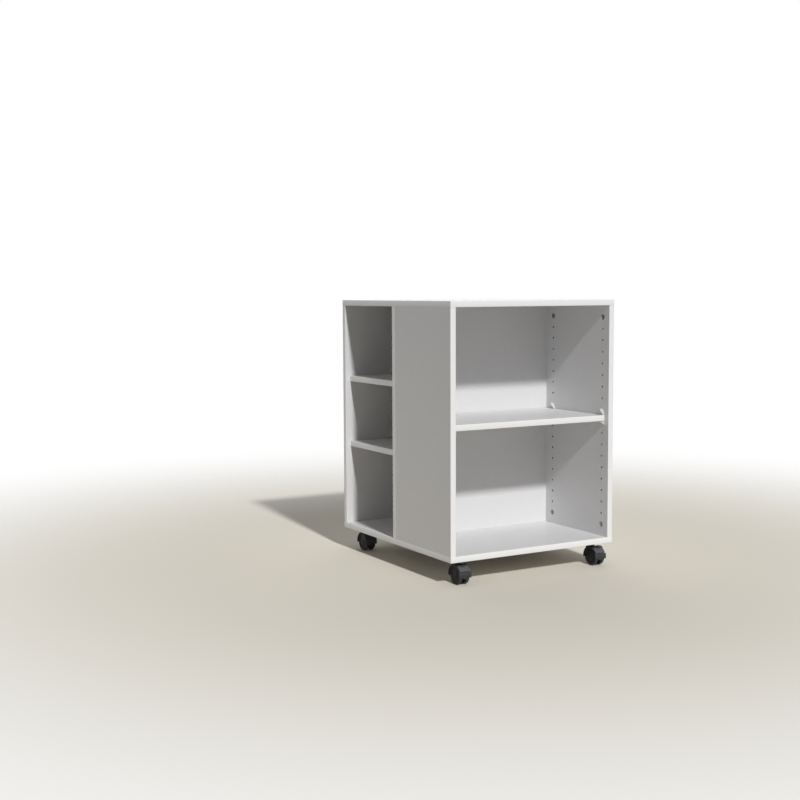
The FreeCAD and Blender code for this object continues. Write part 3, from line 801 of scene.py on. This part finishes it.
def hood_mesh(braked):
    """Caster body: hood over both wheels, web between them, neck, bosses and bores."""
    axle = around_axle(0, 0)
    shoulder = NECK_TOP - HOOD_EDGE
    body = upright(
        [
            (NECK_FOOT, 0),
            (NECK_FOOT, NECK_RADIUS),
            (shoulder, NECK_RADIUS),
            (NECK_TOP, NECK_RADIUS - HOOD_EDGE),
            (NECK_TOP, 0),
        ],
        ROUND_STEPS,
    )
    for low, high in ((WEB_HALF, HOOD_WIDTH), (-HOOD_WIDTH, -WEB_HALF)):
        body = combined(body, bar(WHEEL_ROOM, low, high, axle, ROUND_STEPS), "DIFFERENCE")
    spans = [(SKIRT_ANGLE, HOOD_BACK_ANGLE)]
    if braked:
        spans = [(SKIRT_ANGLE, WINDOW_START), (WINDOW_END, HOOD_BACK_ANGLE)]
    for start, end in spans:
        body = combined(body, arc_shell(HOOD_INNER, HOOD_OUTER, start, end, HOOD_WIDTH), "UNION")
    body = combined(body, web_plate(braked), "UNION")
    body = combined(body, post(BOSS_HALF, STEM_BOSS_FOOT, shoulder), "UNION")
    body = combined(body, bar(AXLE_BOSS_RADIUS, -BOSS_HALF, BOSS_HALF, axle), "UNION")
    if braked:
        pivot = pedal_pivot()
        body = combined(body, bar(LUG_RADIUS, -WEB_HALF, WEB_HALF, pivot), "UNION")
        barrel_bore = bar(BARREL_BORE_RADIUS, -HOOD_WIDTH, HOOD_WIDTH, pivot, BARREL_STEPS)
        body = combined(body, barrel_bore, "DIFFERENCE")
    body = combined(body, post(STEM_BORE_RADIUS, STEM_BORE_FOOT, PLATE_TOP), "DIFFERENCE")
    return combined(body, bar(AXLE_BORE_RADIUS, -HOOD_WIDTH, HOOD_WIDTH, axle), "DIFFERENCE")


def pedal_mesh():
    """Brake pedal, released, with grip ribs near its toe."""
    pivot = pedal_pivot()
    half = PEDAL_WIDTH / 2
    plate = arc_shell(PEDAL_INNER, PEDAL_OUTER, PEDAL_TOE_ANGLE, PEDAL_PIVOT_ANGLE, PEDAL_WIDTH)
    for angle in PEDAL_RIBS:
        ridge = around_axle(PEDAL_OUTER - RIB_SINK, angle)
        rib = bar(RIB_RADIUS, -RIB_WIDTH / 2, RIB_WIDTH / 2, ridge, RIB_STEPS)
        plate = combined(plate, rib, "UNION")
    slot_half = WEB_HALF + SLOT_CLEARANCE
    slot = bar(LUG_RADIUS + SLOT_CLEARANCE, -slot_half, slot_half, pivot, BAR_STEPS, SLOT_EASE)
    plate = combined(plate, slot, "DIFFERENCE")
    plate = combined(plate, bar(BARREL_RADIUS, -half, half, pivot, BARREL_STEPS), "UNION")
    turn = Matrix.Rotation(math.radians(-PEDAL_TRAVEL), 4, "X")
    return moved(plate, Matrix.Translation(pivot) @ turn @ Matrix.Translation(-pivot))


def round_about_axle(profile, side, closed):
    """Solid of revolution about the axle, mirrored for the left side."""
    placing = Matrix.Translation(around_axle(0, 0)) @ Matrix.Diagonal((side, 1.0, 1.0, 1.0))
    return moved(lathe(profile, ROUND_STEPS, closed), placing)


def wheel_mesh(side):
    """Moulded wheel with a blind hub and a stepped, slightly domed face. Side is 1 on the right."""
    inner = WHEEL_GAP / 2
    outer = inner + WHEEL_WIDTH
    seat = WHEEL_RADIUS - TYRE_WALL
    rim = seat - RIM_WALL
    ease = WHEEL_EASE
    dish = DISH_DEPTH
    bore_end = outer - HUB_END_WALL
    profile = [
        (bore_end, 0),
        (bore_end, HUB_BORE_RADIUS),
        (inner, HUB_BORE_RADIUS),
        (inner, HUB_RADIUS),
        (inner + BACK_RECESS, HUB_RADIUS),
        (inner + BACK_RECESS, rim),
        (inner, rim + ease),
        (inner, seat),
        (outer - ease, seat),
        (outer, seat - ease),
        (outer, rim + ease),
        (outer - ease, rim),
        (outer - dish, rim - ease),
        (outer - dish, HUB_RADIUS + 3 * ease),
        (outer - dish + ease, HUB_RADIUS + ease),
        (outer - dish + 2 * ease, HUB_RADIUS),
        (outer - ease, HUB_RADIUS - 2 * ease),
        (outer - ease / 2, HUB_RADIUS / 2),
        (outer - ease / 4, 0),
    ]
    return round_about_axle(profile, side, False)


def tyre_mesh(side):
    """Tyre ring with rounded shoulders and a crowned tread."""
    inner = WHEEL_GAP / 2
    outer = inner + WHEEL_WIDTH
    seat = WHEEL_RADIUS - TYRE_WALL
    shoulder = WHEEL_RADIUS - TYRE_ROUND
    profile = [(inner, seat)]
    for x, start in ((inner + TYRE_ROUND, 180), (outer - TYRE_ROUND, 90)):
        for step in range(TYRE_STEPS + 1):
            turn = math.radians(start - 90 * step / TYRE_STEPS)
            profile.append((x + TYRE_ROUND * math.cos(turn), shoulder + TYRE_ROUND * math.sin(turn)))
    profile.append((outer, seat))
    return round_about_axle(profile, side, True)


def plate_mesh():
    """Square plate with round corners and eased edges."""
    half = PLATE_HALF
    corners = rounded_box(-half, half, -half, half, PLATE_CORNER, PLATE_STEPS)
    outline = [(x, y, 0) for x, y in corners]
    plate = prism(outline, (0, 0, PLATE_UNDER), (0, 0, PLATE_TOP - PLATE_UNDER))
    level = [edge for edge in plate.edges if abs(edge.verts[0].co.z - edge.verts[1].co.z) < PLATE_EASE]
    return eased(plate, level, PLATE_EASE, EASE_STEPS)


def screw_mesh():
    """Pan-head screw with a cross recess, its head looking down."""
    radius = SCREW_HEAD_RADIUS
    height = SCREW_HEAD_HEIGHT
    head = PLATE_UNDER - height
    profile = [
        (head, 0),
        *((head + height * rise, radius * reach) for rise, reach in SCREW_DOME),
        (PLATE_UNDER, radius),
        (PLATE_UNDER, SCREW_SHANK_RADIUS),
        (PLATE_TOP + height, SCREW_SHANK_RADIUS),
        (PLATE_TOP + height, 0),
    ]
    screw = upright(profile, SCREW_STEPS)
    outline = [(x, y, 0) for x, y in cross_outline(SCREW_SLOT_REACH, SCREW_SLOT_HALF)]
    slot = prism(outline, (0, 0, head - height), (0, 0, height + SCREW_SLOT_DEPTH))
    return combined(screw, slot, "DIFFERENCE")


def corner_places():
    """Placing of each caster by the corner that it stands under."""
    columns = {"left": BODY_LOW.x + CASTER_INSET_X, "right": BODY_HIGH.x - CASTER_INSET_X}
    rows = {"front": BODY_LOW.y + CASTER_INSET_Y, "rear": BODY_HIGH.y - CASTER_INSET_Y}
    places = {}
    for row, y in rows.items():
        for column, x in columns.items():
            places[row + "_" + column] = Matrix.Translation((x, y, 0))
    return places


def build_caster(corner, place):
    """Hood, plate, wheels, tyres and, at the front, the pedal of one caster."""
    braked = corner.startswith("front")

    def caster_piece(name, mesh, body, node, material):
        """Piece of this caster that stands for one of its nodes."""
        nodes = [corner + "_caster_" + node]
        piece(name, moved(mesh, place), body, nodes, (material,), CASTER_SMOOTH)

    hood = hood_mesh(braked)
    caster_piece("hood_" + corner, hood, corner + "_swivel", "hood", hood_plastic)
    caster_piece("plate_" + corner, plate_mesh(), "cabinet", "plate", steel)
    for name, side in (("left", -1.0), ("right", 1.0)):
        body = corner + "_wheel_" + name
        tail = corner + "_" + name
        caster_piece("wheel_" + tail, wheel_mesh(side), body, "wheel_" + name, wheel_plastic)
        caster_piece("tyre_" + tail, tyre_mesh(side), body, "tyre_" + name, tyre_rubber)
    if braked:
        brake = corner + "_brake"
        caster_piece("pedal_" + corner, pedal_mesh(), brake, "brake_pedal", pedal_plastic)


def build_casters():
    """The four casters and the screws that hold their plates."""
    half = SCREW_SPACING / 2
    screw_places = []
    for corner, place in corner_places().items():
        build_caster(corner, place)
        for x in (-half, half):
            for y in (-half, half):
                screw_places.append(place @ Matrix.Translation((x, y, 0)))
    screws = copies(screw_mesh(), screw_places)
    piece("screw_heads", screws, "cabinet", ["caster_screws"], (steel,), CASTER_SMOOTH)


def finish_hidden_nodes():
    """Materials of the solids that stay as they are inside the boards and casters."""
    finishes = {"cam_bolts": steel, "dowels": beech}
    for corner in corner_places():
        finishes[corner + "_caster_stem"] = steel
        finishes[corner + "_caster_axle"] = steel
    for node, material in finishes.items():
        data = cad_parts[node].data
        data.materials.clear()
        data.materials.append(material)


# Studio

def floor_material():
    """Pale floor that fades out far from the object and is clear from below."""
    material = bpy.data.materials.new("pale_floor")
    material.use_nodes = True
    tree = material.node_tree
    tree.nodes.clear()
    output = tree.nodes.new("ShaderNodeOutputMaterial")
    paint = tree.nodes.new("ShaderNodeBsdfDiffuse")
    paint.inputs["Color"].default_value = FLOOR_COLOUR
    clear = tree.nodes.new("ShaderNodeBsdfTransparent")
    place = tree.nodes.new("ShaderNodeTexCoord")
    distance = tree.nodes.new("ShaderNodeVectorMath")
    distance.operation = "LENGTH"
    tree.links.new(place.outputs["Object"], distance.inputs[0])
    fade = tree.nodes.new("ShaderNodeMapRange")
    fade.interpolation_type = "SMOOTHSTEP"
    fade.inputs["From Min"].default_value = FADE_START
    fade.inputs["From Max"].default_value = FADE_END
    tree.links.new(distance.outputs["Value"], fade.inputs["Value"])
    side = tree.nodes.new("ShaderNodeNewGeometry")
    gone = tree.nodes.new("ShaderNodeMath")
    gone.operation = "MAXIMUM"
    tree.links.new(fade.outputs["Result"], gone.inputs[0])
    tree.links.new(side.outputs["Backfacing"], gone.inputs[1])
    whole = tree.nodes.new("ShaderNodeMixShader")
    tree.links.new(gone.outputs["Value"], whole.inputs["Fac"])
    tree.links.new(paint.outputs["BSDF"], whole.inputs[1])
    tree.links.new(clear.outputs["BSDF"], whole.inputs[2])
    tree.links.new(whole.outputs["Shader"], output.inputs["Surface"])
    return material


def direct_ray(tree):
    """One where the background is looked at straight, in a reflection or through glass."""
    path = tree.nodes.new("ShaderNodeLightPath")
    seen = path.outputs["Is Camera Ray"]
    for kind in ("Is Glossy Ray", "Is Transmission Ray"):
        either = tree.nodes.new("ShaderNodeMath")
        either.operation = "MAXIMUM"
        tree.links.new(seen, either.inputs[0])
        tree.links.new(path.outputs[kind], either.inputs[1])
        seen = either.outputs["Value"]
    return seen


def build_floor():
    """Plain floor under the cart."""
    data = bpy.data.meshes.new("floor")
    plane = bmesh.new()
    bmesh.ops.create_grid(plane, x_segments=1, y_segments=1, size=FLOOR_SIZE / 2)
    plane.to_mesh(data)
    plane.free()
    data.materials.append(floor_material())
    floor = bpy.data.objects.new("floor", data)
    floor.location = (0, 0, -FLOOR_DROP)
    bpy.context.scene.collection.objects.link(floor)


def build_lamps():
    """Plain light from the front and, weaker and softer, from behind."""
    for name, (travel, energy, angle) in LAMPS.items():
        light = bpy.data.lights.new(name, "SUN")
        light.energy = energy
        light.angle = angle
        lamp = bpy.data.objects.new(name, light)
        lamp.rotation_euler = Vector(travel).to_track_quat("-Z", "Y").to_euler()
        bpy.context.scene.collection.objects.link(lamp)


def build_world():
    """Even fill from all around, and white where the background itself is seen."""
    world = bpy.data.worlds.new("studio")
    world.use_nodes = True
    tree = world.node_tree
    tree.nodes.clear()
    output = tree.nodes.new("ShaderNodeOutputWorld")
    fill = tree.nodes.new("ShaderNodeBackground")
    fill.inputs["Strength"].default_value = FILL_STRENGTH
    fill.inputs["Color"].default_value = WHITE
    white = tree.nodes.new("ShaderNodeBackground")
    white.inputs["Color"].default_value = WHITE
    shown = tree.nodes.new("ShaderNodeMixShader")
    tree.links.new(direct_ray(tree), shown.inputs["Fac"])
    tree.links.new(fill.outputs["Background"], shown.inputs[1])
    tree.links.new(white.outputs["Background"], shown.inputs[2])
    tree.links.new(shown.outputs["Shader"], output.inputs["Surface"])
    bpy.context.scene.world = world


def build_camera():
    """Camera that looks at the cart from the front left."""
    data = bpy.data.cameras.new("camera")
    data.lens = LENS
    data.sensor_width = SENSOR
    camera = bpy.data.objects.new("camera", data)
    turn = Matrix.Rotation(-CAMERA_YAW, 4, "Z")
    tilt = Matrix.Rotation(math.pi / 2 - CAMERA_PITCH, 4, "X")
    roll = Matrix.Rotation(CAMERA_ROLL, 4, "Z")
    camera.matrix_world = Matrix.Translation(CAMERA_PLACE) @ turn @ tilt @ roll
    bpy.context.scene.collection.objects.link(camera)
    bpy.context.scene.camera = camera


build_boards()
build_cams()
build_supports()
build_casters()
finish_hidden_nodes()
build_floor()
build_lamps()
build_world()
build_camera()
bpy.context.scene.view_settings.view_transform = "Standard"
